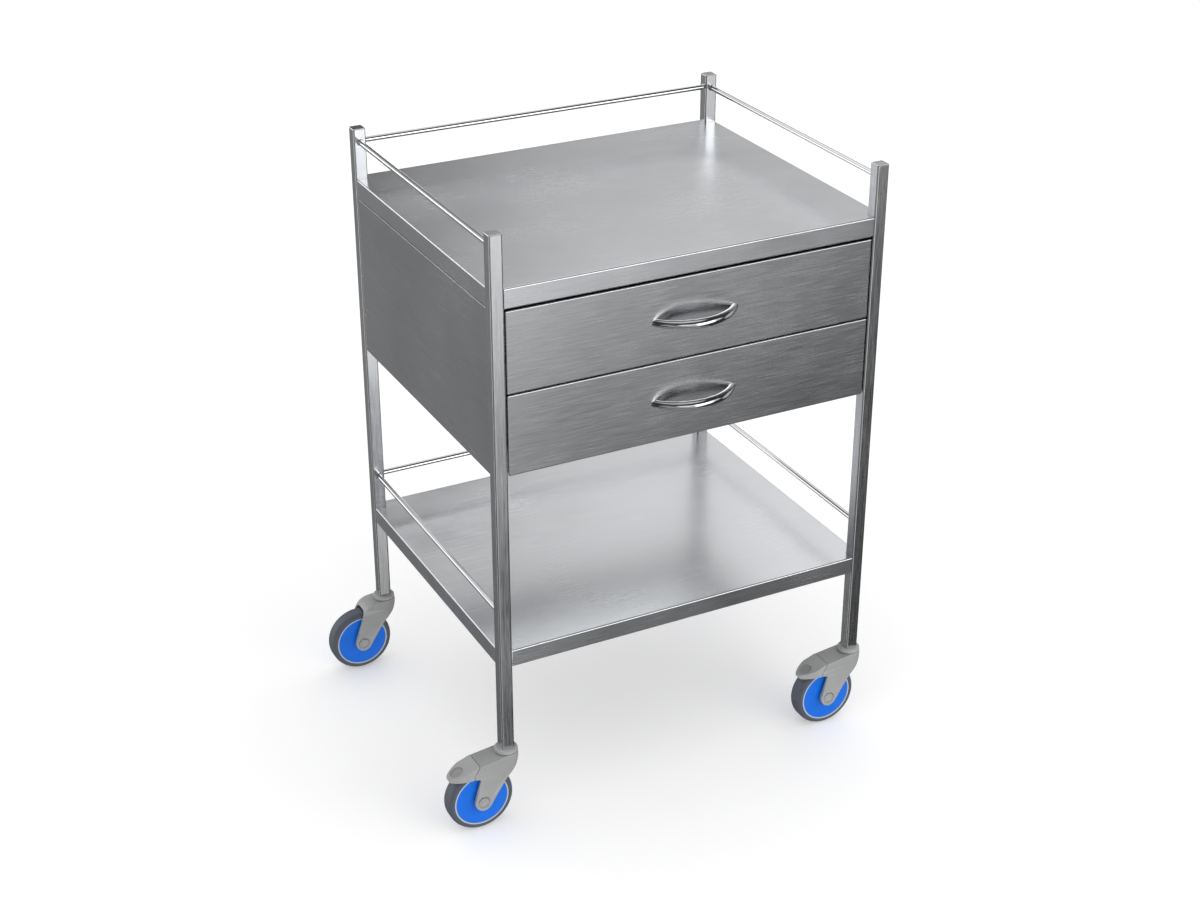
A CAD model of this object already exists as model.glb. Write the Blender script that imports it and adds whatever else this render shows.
import math

import bmesh
import bpy
from mathutils import Matrix, Vector


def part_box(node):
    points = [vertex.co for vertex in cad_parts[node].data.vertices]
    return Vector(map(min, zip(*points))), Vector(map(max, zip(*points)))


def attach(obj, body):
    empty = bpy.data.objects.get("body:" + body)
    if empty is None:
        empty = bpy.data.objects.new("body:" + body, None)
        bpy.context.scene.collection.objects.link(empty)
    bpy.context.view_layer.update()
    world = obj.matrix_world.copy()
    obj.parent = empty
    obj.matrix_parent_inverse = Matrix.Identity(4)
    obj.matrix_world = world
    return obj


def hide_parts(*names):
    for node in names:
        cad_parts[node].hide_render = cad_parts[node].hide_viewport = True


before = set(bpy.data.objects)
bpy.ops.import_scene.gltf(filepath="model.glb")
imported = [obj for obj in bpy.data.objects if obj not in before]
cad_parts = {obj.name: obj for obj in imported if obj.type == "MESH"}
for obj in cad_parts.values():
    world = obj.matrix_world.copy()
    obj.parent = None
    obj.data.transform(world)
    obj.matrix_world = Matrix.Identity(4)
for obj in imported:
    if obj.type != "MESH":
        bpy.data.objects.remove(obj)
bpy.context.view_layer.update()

SCENE = bpy.context.scene
MM = 0.001

# ---- Dimensions of the trolley, in millimetres, as in the CAD model ----

LEG_SIDE = 19.0
LEG_CORNER = 2.4
LEG_WALL = 1.2
LEG_BOTTOM = 122.0
FRAME_W, FRAME_D, FRAME_H = 600.0, 490.0, 900.0
LEG_X, LEG_Y = (FRAME_W - LEG_SIDE) / 2, (FRAME_D - LEG_SIDE) / 2
LEG_IN_X, LEG_IN_Y = FRAME_W / 2 - LEG_SIDE, FRAME_D / 2 - LEG_SIDE
SHEET_X, SHEET_Y = FRAME_W / 2 - 1.2, FRAME_D / 2 - 1.2
SHEET_T = 1.2
TOP_Z, LOW_Z = 825.0, 283.0
TOP_EDGE, LOW_EDGE = 28.5, 26.5
RAIL_R, RAIL_RISE = 4.0, 55.0
HANDLE_SPAN, HANDLE_RISE, BOW_MID, BOW_END = 120.0, 28.0, 6.4, 5.0
WHEEL_R, TRAIL = 50.0, 45.0
HOOD_HALF, ARM_HALF, HOOD_Z, HOOD_TOP = 17.6, 21.4, 110.0, 115.2
ARM_INNER, ARM_END_R = 16.2, 13.0
COLLAR_BOTTOM = 115.6
PEDAL_PIVOT = (-51.5, 97.0)
PEDAL_RIDGE, PEDAL_TIP = (-48.1, 110.5), (-91.9, 94.4)
PEDAL_SWEEP = 4.0
WHEEL_GAP = 4.0
PEDAL_GAP = 1.0


def middle_of(node):
    low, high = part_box(node)
    return (low + high) / 2


# The legs are evenly spaced about the frame's centre, which isn't the origin because the castors trail
CENTRE = (middle_of("front_left_leg") + middle_of("back_right_leg")) / 2 / MM
CX, CY = CENTRE.x, CENTRE.y
CORNERS = [("front_left", -1, -1), ("front_right", 1, -1), ("back_left", -1, 1), ("back_right", 1, 1)]


# ---- Mesh helpers: everything is drawn in millimetres and scaled once ----

def link_mesh(name, mesh, material):
    mesh.materials.clear()
    mesh.materials.append(material)
    piece = bpy.data.objects.new(name, mesh)
    SCENE.collection.objects.link(piece)
    return piece


def shade(mesh, angle):
    for polygon in mesh.polygons:
        polygon.use_smooth = True
    mesh.set_sharp_from_angle(angle=math.radians(angle))


def make(name, bm, material, origin=(0, 0, 0), angle=32):
    """Closes a bmesh drawn in millimetres about origin into an object in metres."""
    bmesh.ops.remove_doubles(bm, verts=bm.verts, dist=0.0005)
    bmesh.ops.recalc_face_normals(bm, faces=bm.faces)
    bm.transform(Matrix.Scale(MM, 4) @ Matrix.Translation(Vector(origin)))
    mesh = bpy.data.meshes.new(name)
    bm.to_mesh(mesh)
    bm.free()
    shade(mesh, angle)
    return link_mesh(name, mesh, material)


def settle(piece, angle=32):
    """Replaces a piece's mesh by the result of its modifiers."""
    bpy.context.view_layer.update()
    graph = bpy.context.evaluated_depsgraph_get()
    mesh = bpy.data.meshes.new_from_object(piece.evaluated_get(graph))
    old = piece.data
    piece.modifiers.clear()
    piece.data = mesh
    bpy.data.meshes.remove(old)
    shade(mesh, angle)
    return piece


def add_modifier(piece, kind, **values):
    modifier = piece.modifiers.new(kind.lower(), kind)
    for key, value in values.items():
        setattr(modifier, key, value)
    return modifier


def sheet(name, bm, material, origin, thickness=SHEET_T):
    """Turns an outer skin into sheet metal of one thickness, which lies inside the skin."""
    piece = make(name, bm, material, origin)
    add_modifier(piece, "SOLIDIFY", thickness=thickness * MM, offset=-1, use_even_offset=True)
    return settle(piece)


def bridge(bm, rows, closed=False, looped=True):
    """Joins rows of vertices by quads: closed joins the last row to the first, looped the ends of each."""
    count = len(rows[0])
    for k in range(len(rows) if closed else len(rows) - 1):
        a, b = rows[k], rows[(k + 1) % len(rows)]
        for i in range(count if looped else count - 1):
            j = (i + 1) % count
            bm.faces.new((a[i], a[j], b[j], b[i]))


def ring(bm, points):
    return [bm.verts.new(p) for p in points]


def rounded_square(side, radius, steps=6):
    """Corner arcs of a square in plan, anticlockwise."""
    flat = side / 2 - radius
    points = []
    for corner in range(4):
        a0 = math.pi / 2 * corner
        cx = flat * (1 if corner in (0, 3) else -1)
        cy = flat * (1 if corner in (0, 1) else -1)
        for k in range(steps + 1):
            a = a0 + math.pi / 2 * k / steps
            points.append((cx + radius * math.cos(a), cy + radius * math.sin(a)))
    return points


def turned(axis, centre, radius, distance, angle):
    """The point at a radius from an axis through centre and at a distance along it."""
    across, up = radius * math.cos(angle), radius * math.sin(angle)
    offset = {"X": (distance, across, up), "Y": (across, distance, up), "Z": (across, up, distance)}[axis]
    return tuple(middle + step for middle, step in zip(centre, offset))


def lathe(bm, profile, centre, axis="Y", segments=96, looped=True):
    """Turns a profile of (radius, distance) about an axis; one that isn't looped ends on the axis."""
    rows = []
    for k in range(segments):
        angle = 2 * math.pi * k / segments
        rows.append(ring(bm, [turned(axis, centre, r, d, angle) for r, d in profile]))
    bridge(bm, rows, closed=True, looped=looped)


def arc(cx, cy, radius, start, stop, steps):
    """Points of an arc, with its angles in degrees."""
    return [(cx + radius * math.cos(math.radians(start + (stop - start) * k / steps)),
             cy + radius * math.sin(math.radians(start + (stop - start) * k / steps)))
            for k in range(steps + 1)]


def filleted(corners, steps=6):
    """Rounds each (x, y, radius) corner of a closed outline; a radius of 0 keeps it sharp."""
    points = []
    count = len(corners)
    for i, (x, y, radius) in enumerate(corners):
        here = Vector((x, y))
        to_last = (Vector(corners[i - 1][:2]) - here).normalized()
        to_next = (Vector(corners[(i + 1) % count][:2]) - here).normalized()
        half = to_last.angle(to_next) / 2
        if radius == 0 or half > math.radians(89):
            points.append((x, y))
            continue
        reach = radius / math.tan(half)
        centre = here + (to_last + to_next).normalized() * (radius / math.sin(half))
        start, stop = here + to_last * reach - centre, here + to_next * reach - centre
        swing = start.angle_signed(stop)
        first = math.atan2(start.y, start.x)
        for k in range(steps + 1):
            a = first - swing * k / steps
            points.append((centre.x + radius * math.cos(a), centre.y + radius * math.sin(a)))
    return points


def extruded(bm, outline, half):
    """A solid from an outline in X and Z, from -half to half in Y."""
    front = ring(bm, [(x, -half, z) for x, z in outline])
    back = ring(bm, [(x, half, z) for x, z in outline])
    bridge(bm, [front, back])
    bm.faces.new(front)
    bm.faces.new(back)


def cut(piece, operation, tool_bm, origin):
    """Applies a boolean with a tool drawn in millimetres, and discards the tool."""
    tool = make("tool", tool_bm, piece.data.materials[0], origin)
    add_modifier(piece, "BOOLEAN", operation=operation, object=tool, solver="EXACT")
    settle(piece)
    mesh = tool.data
    bpy.data.objects.remove(tool)
    bpy.data.meshes.remove(mesh)


def soften(piece, width, segments=2, angle=35):
    """Rounds the sharp edges of a piece by modifiers only, so a CAD mesh stays as it is."""
    add_modifier(piece, "WELD", merge_threshold=0.00001)
    add_modifier(piece, "BEVEL", width=width * MM, segments=segments, limit_method="ANGLE",
                 angle_limit=math.radians(angle), harden_normals=False, use_clamp_overlap=True)
    add_modifier(piece, "WEIGHTED_NORMAL", keep_sharp=False)


# ---- Materials ----

class Graph:
    """Small helper for building the nodes of a material or of the world."""

    def __init__(self, tree):
        self.nodes = tree.nodes
        self.links = tree.links

    def add(self, kind, **inputs):
        node = self.nodes.new(kind)
        for key, value in inputs.items():
            name = key.replace("_", " ")
            if isinstance(value, bpy.types.NodeSocket):
                self.links.new(value, node.inputs[name])
            else:
                node.inputs[name].default_value = value
        return node

    def ranged(self, factor, start, stop, low, high, interpolation="LINEAR"):
        """Maps a factor from start..stop to the range low..high."""
        node = self.add("ShaderNodeMapRange", Value=factor, From_Min=start, From_Max=stop,
                        To_Min=low, To_Max=high)
        node.interpolation_type = interpolation
        return node.outputs["Result"]

    def maths(self, operation, a, b):
        node = self.nodes.new("ShaderNodeMath")
        node.operation = operation
        for socket, value in zip(node.inputs, (a, b)):
            if isinstance(value, bpy.types.NodeSocket):
                self.links.new(value, socket)
            else:
                socket.default_value = value
        return node.outputs["Value"]


class Finish(Graph):
    """The nodes of one material, around its Principled shader."""

    def __init__(self, name):
        self.material = bpy.data.materials.new(name)
        self.material.use_nodes = True
        super().__init__(self.material.node_tree)
        self.shader = self.nodes["Principled BSDF"]

    def coordinates(self, scale):
        source = self.nodes.new("ShaderNodeTexCoord").outputs["Object"]
        return self.add("ShaderNodeMapping", Vector=source, Scale=scale).outputs["Vector"]

    def noise(self, scale, detail=3.0, roughness=0.55):
        node = self.add("ShaderNodeTexNoise", Vector=self.coordinates(scale), Scale=1.0, Detail=detail,
                        Roughness=roughness)
        return node.outputs["Fac"]

    def ramp(self, factor, low, high):
        """Spreads the middle of a noise, where most of its values lie, over the range low..high."""
        return self.ranged(factor, 0.3, 0.7, low, high)

    def tinted(self, colour, factor):
        """The colour, made lighter or darker by a factor about 1."""
        node = self.nodes.new("ShaderNodeVectorMath")
        node.operation = "SCALE"
        node.inputs[0].default_value = colour
        self.links.new(factor, node.inputs["Scale"])
        return node.outputs["Vector"]

    def bump(self, height, strength, distance):
        node = self.add("ShaderNodeBump", Height=height, Strength=strength, Distance=distance)
        self.links.new(node.outputs["Normal"], self.shader.inputs["Normal"])

    def edges(self, gain):
        """A little more than 1 on convex edges, where handling has polished the surface."""
        pointiness = self.nodes.new("ShaderNodeNewGeometry").outputs["Pointiness"]
        return self.ranged(pointiness, 0.505, 0.56, 1.0, gain)


def steel(name, colour, roughness, along, grain=1.0):
    """Brushed stainless steel, with its grain along one axis."""
    graph = Finish(name)
    streak_scale = [560.0, 560.0, 560.0]
    fine_scale = [2600.0, 2600.0, 2600.0]
    streak_scale["XYZ".index(along)] = 22.0
    fine_scale["XYZ".index(along)] = 90.0
    streaks = graph.noise(streak_scale, 4.0, 0.6)
    fine = graph.noise(fine_scale, 2.0)
    clouds = graph.noise((7.0, 7.0, 7.0), 2.0)
    tone = graph.maths("MULTIPLY", graph.ramp(streaks, 1 - 0.09 * grain, 1 + 0.09 * grain),
                       graph.ramp(clouds, 0.97, 1.03))
    tone = graph.maths("MULTIPLY", tone, graph.edges(1.12))
    graph.links.new(graph.tinted(colour, tone), graph.shader.inputs["Base Color"])
    spread = 0.05 * grain
    rough = graph.maths("ADD", graph.ramp(streaks, roughness - spread, roughness + spread),
                        graph.ramp(clouds, -0.02, 0.02))
    graph.links.new(rough, graph.shader.inputs["Roughness"])
    graph.shader.inputs["Metallic"].default_value = 1.0
    graph.bump(fine, 0.12 * grain, 0.00003)
    return graph.material


def plastic(name, colour, roughness, grain, specular=0.5, mottle=0.03):
    """Moulded plastic with a fine spark-eroded grain."""
    graph = Finish(name)
    fine = graph.noise((1500.0, 1500.0, 1500.0), 2.0)
    clouds = graph.noise((60.0, 60.0, 60.0), 3.0)
    tone = graph.maths("MULTIPLY", graph.ramp(clouds, 1 - mottle, 1 + mottle), graph.edges(1.3))
    graph.links.new(graph.tinted(colour, tone), graph.shader.inputs["Base Color"])
    graph.links.new(graph.ramp(fine, roughness - 0.05, roughness + 0.05), graph.shader.inputs["Roughness"])
    graph.shader.inputs["Specular IOR Level"].default_value = specular
    graph.bump(fine, grain, 0.00012)
    return graph.material


def rubber(name, colour):
    """Tyre rubber: a dusty tread and faint scuffs along the rolling direction."""
    graph = Finish(name)
    fine = graph.noise((900.0, 900.0, 900.0), 3.0)
    scuffs = graph.noise((70.0, 500.0, 70.0), 4.0, 0.65)
    tone = graph.maths("MULTIPLY", graph.ramp(scuffs, 0.9, 1.12), graph.edges(1.15))
    graph.links.new(graph.tinted(colour, tone), graph.shader.inputs["Base Color"])
    graph.links.new(graph.ramp(scuffs, 0.42, 0.62), graph.shader.inputs["Roughness"])
    graph.bump(graph.maths("ADD", fine, scuffs), 0.25, 0.0002)
    return graph.material


LEG_STEEL = steel("leg_steel", (0.62, 0.63, 0.645), 0.20, "Z", 0.9)
CAP_STEEL = steel("cap_steel", (0.60, 0.61, 0.62), 0.20, "X", 0.8)
RAIL_STEEL_Y = steel("rail_steel_side", (0.70, 0.71, 0.72), 0.12, "Y", 0.5)
RAIL_STEEL_X = steel("rail_steel_back", (0.70, 0.71, 0.72), 0.12, "X", 0.5)
SHELF_STEEL = steel("shelf_steel", (0.635, 0.645, 0.665), 0.25, "X", 0.4)
DRAWER_STEEL = steel("drawer_steel", (0.53, 0.54, 0.555), 0.25, "X", 0.7)
PANEL_STEEL = steel("panel_steel", (0.58, 0.59, 0.615), 0.24, "Y", 0.5)
BACK_STEEL = steel("back_steel", (0.56, 0.57, 0.58), 0.22, "X", 0.7)
TRAY_STEEL = steel("tray_steel", (0.66, 0.67, 0.68), 0.28, "X", 0.6)
HANDLE_STEEL = steel("handle_steel", (0.80, 0.80, 0.81), 0.09, "X", 0.25)
PLATED_STEEL = steel("plated_steel", (0.50, 0.51, 0.53), 0.34, "Y", 0.7)
PIN_STEEL = steel("pin_steel", (0.42, 0.43, 0.45), 0.30, "Y", 0.6)
CASTOR_PLASTIC = plastic("castor_plastic", (0.285, 0.287, 0.287), 0.46, 0.12, specular=0.35)
RIM_PLASTIC = plastic("rim_plastic", (0.40, 0.42, 0.45), 0.40, 0.08)
DISC_PLASTIC = plastic("disc_plastic", (0.004, 0.148, 0.71), 0.36, 0.06, specular=0.3, mottle=0.05)
TYRE_RUBBER = rubber("tyre_rubber", (0.075, 0.088, 0.115))


def dress(node, material):
    """Gives a CAD node its material."""
    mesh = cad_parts[node].data
    mesh.materials.clear()
    mesh.materials.append(material)


def own(piece, body, slot, *nodes):
    """A hand-built piece that stands for CAD nodes; flat faces are shaded flat right up to their bends."""
    if "weighted_normal" not in piece.modifiers:
        add_modifier(piece, "WEIGHTED_NORMAL", keep_sharp=True, weight=100)
    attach(piece, body)
    if nodes:
        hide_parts(*nodes)
    return piece


# ---- Frame ----

def build_leg(name, sx, sy):
    bm = bmesh.new()
    outer = rounded_square(LEG_SIDE, LEG_CORNER)
    inner = rounded_square(LEG_SIDE - 2 * LEG_WALL, LEG_CORNER - LEG_WALL)
    top = FRAME_H - 1.5
    loops = [(outer, LEG_BOTTOM + 0.4), (outer, top - 0.25), (inner, top - 0.25), (inner, LEG_BOTTOM)]
    rings = [ring(bm, [(x, y, z) for x, y in points]) for points, z in loops]
    rings.append(ring(bm, [(x * 0.985, y * 0.985, LEG_BOTTOM) for x, y in outer]))
    bridge(bm, rings, closed=True)
    piece = make(name + "_tube", bm, LEG_STEEL, (CX + sx * LEG_X, CY + sy * LEG_Y, 0))
    own(piece, "frame", "leg_steel", name)


def build_leg_caps():
    """Welded caps: a thin groove at the joint and a small chamfer at the top."""
    bm = bmesh.new()
    steps = [(0.3, FRAME_H - 1.75), (0.3, FRAME_H - 1.5), (0.0, FRAME_H - 1.3), (0.0, FRAME_H - 0.75),
             (0.25, FRAME_H - 0.3), (0.8, FRAME_H - 0.05), (1.4, FRAME_H)]
    for _, sx, sy in CORNERS:
        rings = []
        for inset, z in steps:
            points = rounded_square(LEG_SIDE - 2 * inset, LEG_CORNER - inset * 0.5)
            rings.append(ring(bm, [(x + sx * LEG_X, y + sy * LEG_Y, z) for x, y in points]))
        bridge(bm, rings)
        bm.faces.new(rings[0])
        bm.faces.new(rings[-1])
    own(make("leg_top_caps", bm, CAP_STEEL, (CX, CY, 0), 25), "frame", "leg_steel", "leg_caps")


def edge_profile(flat_from, edge, depth):
    """Outer skin of a folded shelf edge: (outwards, down), with a soft bend above and a tighter one below."""
    bend, hem, lip = 2.0, 1.6, 14.0
    return ([(flat_from, 0.0)] + arc(edge - bend, -bend, bend, 90, 0, 6)
            + arc(edge - hem, hem - depth, hem, 0, -90, 5) + [(edge - lip, -depth)])


def build_shelf(name, face_z, depth):
    gap = 0.35
    in_x, in_y = LEG_IN_X - gap, LEG_IN_Y - gap
    bm = bmesh.new()
    bm.faces.new(ring(bm, [(-in_x, -in_y, 0), (in_x, -in_y, 0), (in_x, in_y, 0), (-in_x, in_y, 0)]))
    for side in (-1, 1):
        side_edge = [ring(bm, [(side * u, v, w) for v in (-in_y, in_y)])
                     for u, w in edge_profile(in_x, SHEET_X, depth)]
        end_edge = [ring(bm, [(v, side * u, w) for v in (-in_x, in_x)])
                    for u, w in edge_profile(in_y, SHEET_Y, depth)]
        bridge(bm, side_edge, looped=False)
        bridge(bm, end_edge, looped=False)
    own(sheet(name + "_pan", bm, SHELF_STEEL, (CX, CY, face_z)), "frame", "shelf_steel", name)


def build_rods(name, material, rods, *nodes):
    """Rods between the legs, each with a small weld at both ends."""
    rise, length = 0.9, 2.2
    weld = [(RAIL_R + rise * (1 - d / length) ** 2, d) for d in (0.0, 0.35, 0.8, 1.4, length)]
    bm = bmesh.new()
    for axis, centre, half in rods:
        profile = [(0.0, -half)] + [(r, d - half) for r, d in weld]
        profile += [(r, half - d) for r, d in reversed(weld)] + [(0.0, half)]
        lathe(bm, profile, centre, axis, 40, looped=False)
    own(make(name, bm, material, (CX, CY, 0)), "frame", "rail_steel", *nodes)


# ---- Cabinet and drawers ----

def folded_box(name, material, size, origin, open_side, bend, thickness):
    """A box of sheet metal with one side open and every fold rounded; origin is its lowest corner."""
    bm = bmesh.new()
    bmesh.ops.create_cube(bm, size=1.0)
    bm.transform(Matrix.Diagonal((*size, 1)) @ Matrix.Translation((0.5, 0.5, 0.5)))
    direction = Vector(open_side)
    missing = max(bm.faces, key=lambda face: face.normal.dot(direction))
    bmesh.ops.delete(bm, geom=[missing], context="FACES_ONLY")
    folds = [edge for edge in bm.edges if len(edge.link_faces) == 2]
    bmesh.ops.bevel(bm, geom=folds, offset=bend, segments=5, profile=0.5, affect="EDGES")
    return sheet(name, bm, material, origin, thickness)


def bow_radius(share):
    """Section radius of a handle at a share of its half length, from 0 in the middle to 1 at an end."""
    return BOW_END + (BOW_MID - BOW_END) * math.cos(math.pi / 2 * min(share, 1.0))


def build_handle(drawer, front_y, z):
    bow_r = ((HANDLE_SPAN / 2) ** 2 + HANDLE_RISE ** 2) / (2 * HANDLE_RISE)
    half_angle = math.asin(HANDLE_SPAN / 2 / bow_r)
    over, along, around = math.radians(12), 96, 40
    bm = bmesh.new()
    rings = []
    for k in range(along + 1):
        a = (half_angle + over) * (2 * k / along - 1)
        r = bow_radius(abs(a) / half_angle)
        points = []
        for i in range(around):
            t = 2 * math.pi * i / around
            reach = bow_r + r * math.cos(t)
            points.append((reach * math.sin(a), bow_r - HANDLE_RISE - reach * math.cos(a), r * math.sin(t)))
        rings.append(ring(bm, points))
    bridge(bm, rings)
    bm.faces.new(rings[0])
    bm.faces.new(rings[-1])
    everything = bm.verts[:] + bm.edges[:] + bm.faces[:]
    bmesh.ops.bisect_plane(bm, geom=everything, plane_co=(0, 0, 0), plane_no=(0, 1, 0), clear_outer=True)
    bmesh.ops.holes_fill(bm, edges=[edge for edge in bm.edges if edge.is_boundary])
    piece = make(f"{drawer}_bow", bm, HANDLE_STEEL, (CX, front_y, z))
    own(piece, f"{drawer}_drawer", "handle_steel", f"{drawer}_handle")


def build_drawer(drawer):
    low, high = (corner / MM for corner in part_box(f"{drawer}_drawer_front"))
    front = folded_box(f"{drawer}_front_skin", DRAWER_STEEL, high - low, low, (0, 1, 0), 1.7, SHEET_T)
    own(front, f"{drawer}_drawer", "drawer_steel", f"{drawer}_drawer_front")
    build_handle(drawer, low.y, (low.z + high.z) / 2)
    low, high = (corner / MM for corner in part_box(f"{drawer}_drawer_tray"))
    tray = folded_box(f"{drawer}_tray_pan", TRAY_STEEL, high - low, low, (0, 0, 1), 3.0, 1.0)
    own(tray, f"{drawer}_drawer", "tray_steel", f"{drawer}_drawer_tray")


# ---- Castors, each drawn about its swivel axis with the wheel towards -X ----

# Half width that a fork or pedal is drawn with before its walls are trimmed
BLANK_HALF = 30
# Where the axle covers' seats start, on both sides of the wheel
SEAT_INNER = 19.2


def wall_half(z):
    """Half width over the fork's drafted walls at height z."""
    return HOOD_HALF + (HOOD_Z - z) * (ARM_HALF - HOOD_HALF) / (HOOD_Z - WHEEL_R)


def arm_arc(start, stop, steps=16):
    return arc(-TRAIL, WHEEL_R, ARM_END_R, start, stop, steps)


def fork_outline(braked):
    """Side view of a fork: nose, arm round the axle, and a crown that meets the pedal or rounds off."""
    nose = [(-4, HOOD_TOP, 40), (17.0, HOOD_TOP, 1.5), (16.7, 106, 14), (10.5, 95.5, 20), (-8, 80.5, 60)]
    if braked:
        crown = [(-47.6, 88.6, 2.0), (-56.2, 90.6, 0.6), (-56.6, 96.6, 0.5), (-47.1, 109.6, 0.4)]
    else:
        crown = [(-46.4, 86.5, 24), (-37, 112.4, 24)]
    front_tangent, back_tangent = -38, -200
    lower = [(x, z, 0) for x, z in arm_arc(front_tangent, back_tangent)]
    return filleted(nose + lower + crown)


def plan_loft(bm, levels):
    """A solid of U-shaped plan sections, one per (height, centre of the round nose, half width)."""
    rings = []
    for z, centre, half in levels:
        nose = [(centre + half * math.cos(a), half * math.sin(a), z)
                for a in (math.pi * k / 32 - math.pi / 2 for k in range(33))]
        rings.append(ring(bm, [(-150, -half, z)] + nose + [(-150, half, z)]))
    bridge(bm, rings)
    bm.faces.new(rings[0])
    bm.faces.new(rings[-1])


def pedal_plan():
    """Plan of the brake pedal: two long arcs draw its sides in to a small round tip."""
    side = arc(-56, -30.3, 50, 94.6, 130.7, 16)
    nose = arc(-82.1, 0, 10, 130.7, 229.3, 14)
    mirrored = [(x, -y) for x, y in reversed(side)]
    return [(-30, -25), (-30, 25), (-60, 25)] + side + nose[1:-1] + mirrored + [(-60, -25)]


def tunnel(bm, x, radius, half=ARM_INNER, shoulder=9.0):
    """The wheel's space: a round about the axle with soft shoulders."""
    right = arc(radius - shoulder, half - shoulder, shoulder, 90, 0, 8)
    profile = [(0.5, half)] + right + [(r, -d) for r, d in reversed(right)] + [(0.5, -half)]
    lathe(bm, profile, (x, 0, WHEEL_R), "Y", 96)


def build_fork(name, place, braked):
    bm = bmesh.new()
    extruded(bm, fork_outline(braked), BLANK_HALF)
    piece = make(f"{name}_fork_body", bm, CASTOR_PLASTIC, place)
    walls = bmesh.new()
    heights = [(30, -5.0), (88, -4.6), (94, -3.2), (100, -1.6), (106, -0.4), (110, 0.0), (120, 0.0)]
    plan_loft(walls, [(z, centre, wall_half(z)) for z, centre in heights])
    cut(piece, "INTERSECT", walls, place)
    space = bmesh.new()
    tunnel(space, -TRAIL, WHEEL_R + WHEEL_GAP)
    cut(piece, "DIFFERENCE", space, place)
    for side in (-1, 1):
        seat = bmesh.new()
        inner, outer = side * SEAT_INNER, side * BLANK_HALF
        lathe(seat, [(0.2, inner), (8.9, inner), (8.9, outer), (0.2, outer)], (-TRAIL, 0, WHEEL_R))
        cut(piece, "DIFFERENCE", seat, place)
    soften(piece, 0.7, 3, 38)
    settle(piece, 60)
    own(piece, f"{name}_castor", "castor_plastic", f"{name}_fork")


def build_axle_caps(name, place):
    bm = bmesh.new()
    slope = math.atan((ARM_HALF - HOOD_HALF) / (HOOD_Z - WHEEL_R))
    face = wall_half(WHEEL_R) + 0.1
    for side in (-1, 1):
        before = set(bm.verts)
        profile = [(0.05, SEAT_INNER + 0.1), (8.4, SEAT_INNER + 0.1), (8.4, face - 0.5), (8.2, face - 0.15),
                   (7.7, face), (3.0, face + 0.12), (0.05, face + 0.15)]
        lathe(bm, [(r, side * d) for r, d in profile], (0, 0, 0), "Y", 64)
        fresh = [v for v in bm.verts if v not in before]
        bmesh.ops.transform(bm, matrix=Matrix.Rotation(side * -slope, 4, "X"), verts=fresh)
    piece = make(f"{name}_axle_covers", bm, CASTOR_PLASTIC, (place[0] - TRAIL, place[1], WHEEL_R), 50)
    own(piece, f"{name}_castor", "castor_plastic", f"{name}_axle_caps")


def build_wheel(name, place):
    axle = (place[0] - TRAIL, place[1], WHEEL_R)
    bm = bmesh.new()
    shoulder = arc(41.0, 5.6, 9.0, 62, 0, 12)
    side_wall = [(41.9, 12.9), (42.4, 13.5), (43.6, 13.75)]
    half = side_wall + [(r, d) for r, d in shoulder]
    profile = half + [(50.0, 2.0), (50.0, -2.0)] + [(r, -d) for r, d in reversed(half)]
    lathe(bm, profile, (0, 0, 0), "Y", 128)
    own(make(f"{name}_tyre_ring", bm, TYRE_RUBBER, axle, 40), f"{name}_wheel", "tyre_rubber", f"{name}_tyre")

    bm = bmesh.new()
    half = [(4.05, 15.9), (9.0, 15.9), (9.5, 15.4), (9.5, 3.0), (36.0, 3.0), (36.0, 10.9), (39.75, 10.9),
            (39.75, 12.7), (40.1, 13.0), (41.5, 13.0), (41.9, 12.6)]
    lathe(bm, half + [(r, -d) for r, d in reversed(half)], (0, 0, 0), "Y", 128)
    own(make(f"{name}_rim", bm, RIM_PLASTIC, axle, 40), f"{name}_wheel", "rim_plastic", f"{name}_wheel_core")

    bm = bmesh.new()
    for side in (-1, 1):
        profile = [(10.0, 11.0), (39.5, 11.0), (39.5, 12.0), (39.3, 12.35), (38.9, 12.5), (37.6, 12.5),
                   (30.0, 12.2), (20.0, 11.9), (14.0, 11.8), (10.4, 11.8), (10.0, 11.6)]
        lathe(bm, [(r, side * d) for r, d in profile], (0, 0, 0), "Y", 128)
    own(make(f"{name}_cover_discs", bm, DISC_PLASTIC, axle, 40), f"{name}_wheel", "disc_plastic",
        f"{name}_wheel_discs")


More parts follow.
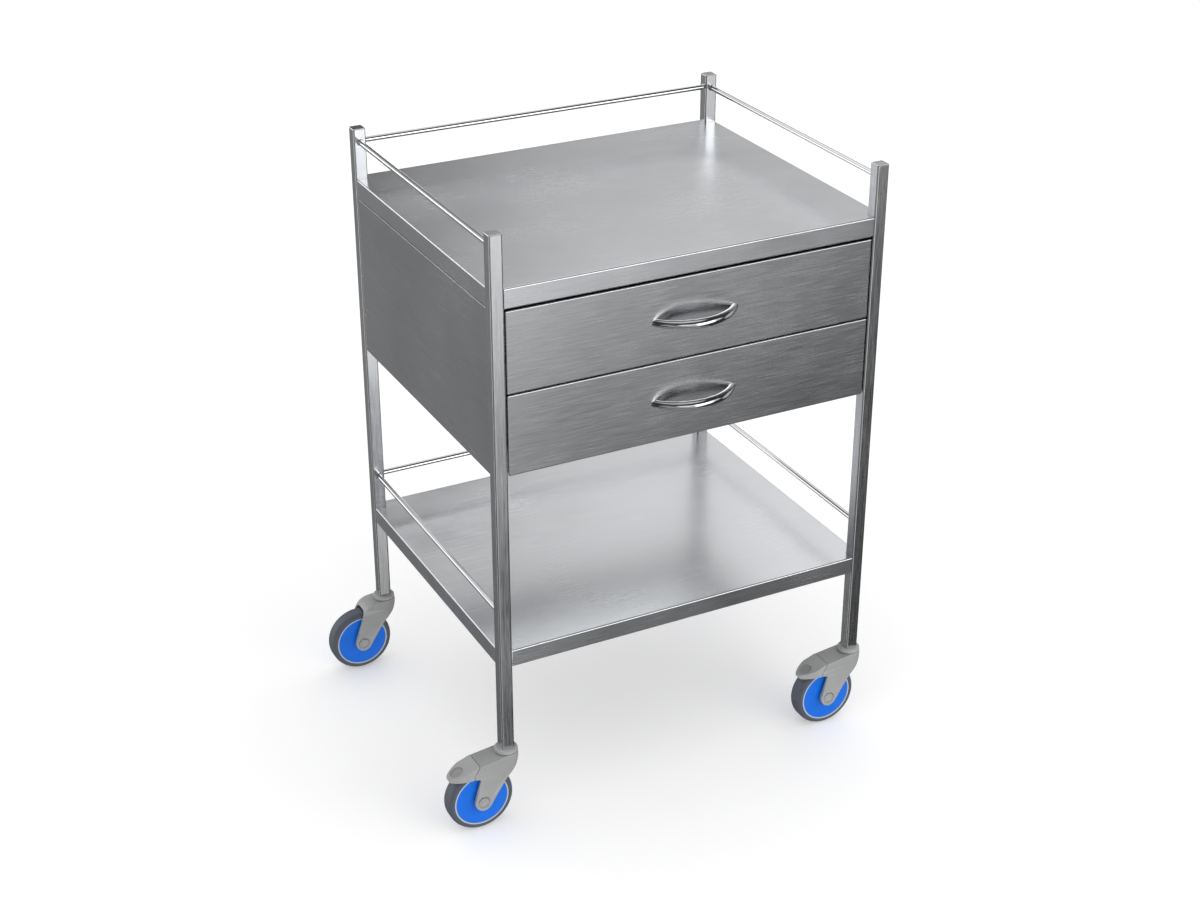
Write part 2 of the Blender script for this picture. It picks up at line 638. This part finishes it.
def build_pedal(name, place):
    outline = filleted([(*PEDAL_RIDGE, 0.4), (*PEDAL_TIP, 2.0), (-90.8, 88.9, 2.0), (-72, 90.4, 8),
                        (-57.4, 90.8, 0.5), (-57.3, 96.4, 0.5)])
    bm = bmesh.new()
    extruded(bm, outline, BLANK_HALF)
    piece = make(f"{name}_pedal_pad", bm, CASTOR_PLASTIC, place)
    walls = bmesh.new()
    plan_loft(walls, [(z, 0, wall_half(z)) for z in (80, 115)])
    cut(piece, "INTERSECT", walls, place)
    sides = bmesh.new()
    bridge(sides, [ring(sides, [(x, y, z) for x, y in pedal_plan()]) for z in (80, 120)])
    bmesh.ops.holes_fill(sides, edges=[edge for edge in sides.edges if edge.is_boundary])
    cut(piece, "INTERSECT", sides, place)
    sway = (PEDAL_PIVOT[1] - WHEEL_R) * math.sin(math.radians(PEDAL_SWEEP)) / 2
    space = bmesh.new()
    tunnel(space, -TRAIL - sway, WHEEL_R + PEDAL_GAP + sway, shoulder=10.0)
    cut(piece, "DIFFERENCE", space, place)
    slope = math.atan2(PEDAL_RIDGE[1] - PEDAL_TIP[1], PEDAL_RIDGE[0] - PEDAL_TIP[0])
    rest = bmesh.new()
    lathe(rest, [(0.2, -0.8), (9.0, -0.8), (9.9, -0.3), (10.2, 8.0), (0.2, 8.0)], (0, 0, 0), "Z", 64)
    rest.transform(Matrix.Translation((-77.0, 0, 98.7)) @ Matrix.Rotation(-slope, 4, "Y"))
    cut(piece, "DIFFERENCE", rest, place)
    soften(piece, 0.45, 2, 38)
    settle(piece, 60)
    own(piece, f"{name}_pedal", "castor_plastic", f"{name}_brake_pedal")


def build_collars():
    bm = bmesh.new()
    profile = [(5.2, 0.0), (16.3, 0.0), (16.9, 0.5), (16.9, 3.2), (16.7, 3.9), (15.0, 5.7), (14.2, 6.2),
               (13.2, 6.4), (5.2, 6.4)]
    for _, sx, sy in CORNERS:
        lathe(bm, profile, (sx * LEG_X, sy * LEG_Y, COLLAR_BOTTOM), "Z", 64)
    piece = make("castor_collars", bm, CASTOR_PLASTIC, (CX, CY, 0), 40)
    own(piece, "frame", "castor_plastic", "castor_plugs")


# ---- Build the trolley ----

for corner, sx, sy in CORNERS:
    build_leg(f"{corner}_leg", sx, sy)
build_leg_caps()
build_shelf("top_shelf", TOP_Z, TOP_EDGE)
build_shelf("lower_shelf", LOW_Z, LOW_EDGE)
for shelf, z in (("top", TOP_Z + RAIL_RISE), ("lower", LOW_Z + RAIL_RISE)):
    build_rods(f"{shelf}_side_rods", RAIL_STEEL_Y,
               [("Y", (side * LEG_X, 0, z), LEG_IN_Y) for side in (-1, 1)], f"{shelf}_side_rails")
    build_rods(f"{shelf}_back_rod", RAIL_STEEL_X, [("X", (0, LEG_Y, z), LEG_IN_X)], f"{shelf}_back_rail")
for drawer in ("upper", "lower"):
    build_drawer(drawer)
    dress(f"{drawer}_drawer_slides", PLATED_STEEL)
    dress(f"{drawer}_handle_screws", PIN_STEEL)
for node, material in (("left_side_panel", PANEL_STEEL), ("right_side_panel", PANEL_STEEL),
                       ("back_panel", BACK_STEEL), ("runner_channels", PLATED_STEEL),
                       ("king_pins", PIN_STEEL)):
    dress(node, material)
for node in ("left_side_panel", "right_side_panel", "back_panel"):
    soften(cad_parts[node], 0.8)
build_collars()
for corner, sx, sy in CORNERS:
    place = (CX + sx * LEG_X, CY + sy * LEG_Y, 0)
    at_front = sy < 0
    build_fork(corner, place, braked=at_front)
    build_axle_caps(corner, place)
    build_wheel(corner, place)
    dress(f"{corner}_bearing", PIN_STEEL)
    dress(f"{corner}_axle", PIN_STEEL)
    if at_front:
        build_pedal(corner, place)
        dress(f"{corner}_pedal_pins", PIN_STEEL)


# ---- Floor, light and camera ----

WHITE = (1.0, 1.0, 1.0, 1.0)
FLOOR_SIZE = 16000.0


def build_floor():
    bm = bmesh.new()
    bmesh.ops.create_grid(bm, x_segments=8, y_segments=8, size=FLOOR_SIZE)
    graph = Finish("floor_paint")
    clouds = graph.noise((3.0, 3.0, 3.0), 2.0)
    graph.links.new(graph.tinted((0.82, 0.82, 0.825), graph.ramp(clouds, 0.995, 1.005)),
                    graph.shader.inputs["Base Color"])
    graph.shader.inputs["Emission Color"].default_value = WHITE
    graph.shader.inputs["Emission Strength"].default_value = 0.27
    graph.shader.inputs["Roughness"].default_value = 0.85
    graph.shader.inputs["Specular IOR Level"].default_value = 0.2
    floor = make("floor", bm, graph.material)
    floor.visible_glossy = False


class Sky(Graph):
    """The world's nodes: soft panels, each a product of soft limits on the direction that is looked in."""

    def __init__(self, tree):
        super().__init__(tree)
        self.direction = self.nodes.new("ShaderNodeTexCoord").outputs["Generated"]
        self.x, self.y, self.z = self.add("ShaderNodeSeparateXYZ", Vector=self.direction).outputs

    def fade(self, factor, start, stop, low=0.0, high=1.0):
        """Goes smoothly from low to high as a factor goes from start to stop."""
        return self.ranged(factor, start, stop, low, high, "SMOOTHSTEP")

    def towards(self, target):
        """How far the direction goes towards a fixed one."""
        node = self.nodes.new("ShaderNodeVectorMath")
        node.operation = "DOT_PRODUCT"
        self.links.new(self.direction, node.inputs[0])
        node.inputs[1].default_value = target
        return node.outputs["Value"]

    def chained(self, operation, first, *others):
        for other in others:
            first = self.maths(operation, first, other)
        return first

    def product(self, *factors):
        return self.chained("MULTIPLY", *factors)

    def brightest(self, *panels):
        return self.chained("MAXIMUM", *panels)

    def glow(self, target, strength, edge):
        """A round panel about a direction, which starts at the cosine edge."""
        return self.fade(self.towards(Vector(target).normalized()), edge, edge + 0.045, 0.0, strength)

    def rear(self):
        """Behind and above, for the tops of the shelves; low down it has a dark gap right of the middle."""
        across = self.brightest(self.fade(self.x, 0.30, 0.42, 0.08, 1.0),
                                self.fade(self.x, 0.08, -0.08, 0.0, 0.7))
        low = self.product(self.fade(self.z, 0.12, 0.50, 0.0, 0.95), across)
        high = self.fade(self.z, 0.50, 0.58, 0.0, 1.3)
        return self.product(self.brightest(low, high), self.fade(self.y, 0.25, 0.45))

    def front(self):
        """In front and to the right, for the drawer fronts and the front legs: it fades along a slant."""
        slant = self.fade(self.towards((-0.9, 0.0, 1.0)), -0.83, -0.63, 0.05, 1.38)
        level = self.fade(self.z, -0.13, 0.02, 0.0, 1.8)
        facing = self.fade(self.towards((0.44, -0.90, 0.0)), 0.48, 0.66)
        return self.product(self.maths("ADD", slant, level), facing, self.fade(self.z, 0.42, 0.30),
                            self.fade(self.x, 0.05, 0.20, 0.28, 1.0), self.fade(self.x, 0.76, 0.62))

    def left(self):
        """Behind, and brighter to the left, for the left side panel and the left faces of the legs."""
        below = self.fade(self.z, 0.30, 0.20)
        side = self.product(self.fade(self.x, -0.60, -0.72, 0.0, 1.3), self.fade(self.y, 0.28, 0.40), below)
        band = self.product(self.fade(self.z, -0.10, 0.0, 0.0, 2.0), self.fade(self.x, 0.0, -0.20),
                            self.fade(self.z, 0.32, 0.22))
        base = self.product(self.fade(self.z, -0.60, -0.40, 0.13, 0.22), below)
        behind = self.product(self.maths("ADD", band, base), self.fade(self.y, 0.35, 0.70))
        return self.brightest(behind, side)

    def low_right(self):
        """Behind, below and to the right: it reaches the lower shelf off the underside of the cabinet."""
        return self.product(self.fade(self.x, 0.05, 0.25), self.fade(self.y, 0.20, 0.40),
                            self.fade(self.x, 0.68, 0.55), self.fade(self.z, 0.05, -0.10),
                            self.fade(self.z, -0.40, -0.54, 1.7, 2.8),
                            self.fade(self.z, -0.64, -0.56, 0.25, 1.0))


# Round panels for the other sides of the trolley: direction, strength and the cosine of their edge
GLOWS = [((-0.7, -0.7, -0.26), 0.32, 0.93), ((0.7, 0.7, -0.26), 0.5, 0.93), ((0.7, -0.7, 0.26), 0.6, 0.93),
         ((-0.7, -0.7, 0.34), 0.12, 0.95), ((-1, 0, -0.1), 0.45, 0.93), ((1, 0, -0.1), 0.45, 0.90),
         ((0, 1, -0.15), 0.45, 0.95), ((0, 0, 1), 0.55, 0.87), ((0, 0, -1), 0.3, 0.85),
         ((-0.42, -0.72, -0.55), 0.25, 0.93)]
DIMMEST = 0.03
DOME_STRENGTH = 0.98


def build_world():
    """A studio tent: an even dome lights the scene, and polished surfaces mirror a set of soft panels."""
    world = bpy.data.worlds.new("studio")
    SCENE.world = world
    world.use_nodes = True
    sky = Sky(world.node_tree)
    glows = [sky.glow(*spot) for spot in GLOWS]
    strength = sky.brightest(sky.rear(), sky.front(), sky.left(), sky.low_right(), *glows, DIMMEST)
    mirrored = sky.nodes["Background"]
    mirrored.inputs["Color"].default_value = WHITE
    sky.links.new(strength, mirrored.inputs["Strength"])
    dome = sky.add("ShaderNodeBackground", Color=WHITE, Strength=DOME_STRENGTH)
    choice = sky.nodes.new("ShaderNodeMixShader")
    sky.links.new(sky.nodes.new("ShaderNodeLightPath").outputs["Is Glossy Ray"], choice.inputs[0])
    sky.links.new(dome.outputs[0], choice.inputs[1])
    sky.links.new(mirrored.outputs[0], choice.inputs[2])
    sky.links.new(choice.outputs[0], sky.nodes["World Output"].inputs["Surface"])


def add_softbox(name, location, target, size, power):
    light = bpy.data.lights.new(name, "AREA")
    light.shape = "RECTANGLE"
    light.size, light.size_y = size
    light.energy = power
    lamp = bpy.data.objects.new(name, light)
    lamp.location = location
    lamp.rotation_euler = (Vector(target) - Vector(location)).to_track_quat("-Z", "Y").to_euler()
    lamp.visible_camera = False
    lamp.visible_glossy = False
    SCENE.collection.objects.link(lamp)


def add_camera():
    camera = bpy.data.cameras.new("camera")
    camera.sensor_fit = "HORIZONTAL"
    camera.sensor_width = 36.0
    camera.lens = 60.67
    eye = bpy.data.objects.new("camera", camera)
    forward = Vector((0.4050, 0.7921, -0.4566)).normalized()
    right = forward.cross(Vector((0, 0, 1))).normalized()
    up = right.cross(forward)
    turn = Matrix((right, up, -forward)).transposed().to_4x4()
    eye.matrix_world = Matrix.Translation((-1.2126, -2.400, 1.813)) @ turn
    SCENE.collection.objects.link(eye)
    SCENE.camera = eye


build_floor()
build_world()
add_softbox("front_softbox", (1.3, -3.2, 1.5), (0, 0, 0.6), (2.6, 1.1), 25)
add_camera()
SCENE.view_settings.view_transform = "Standard"
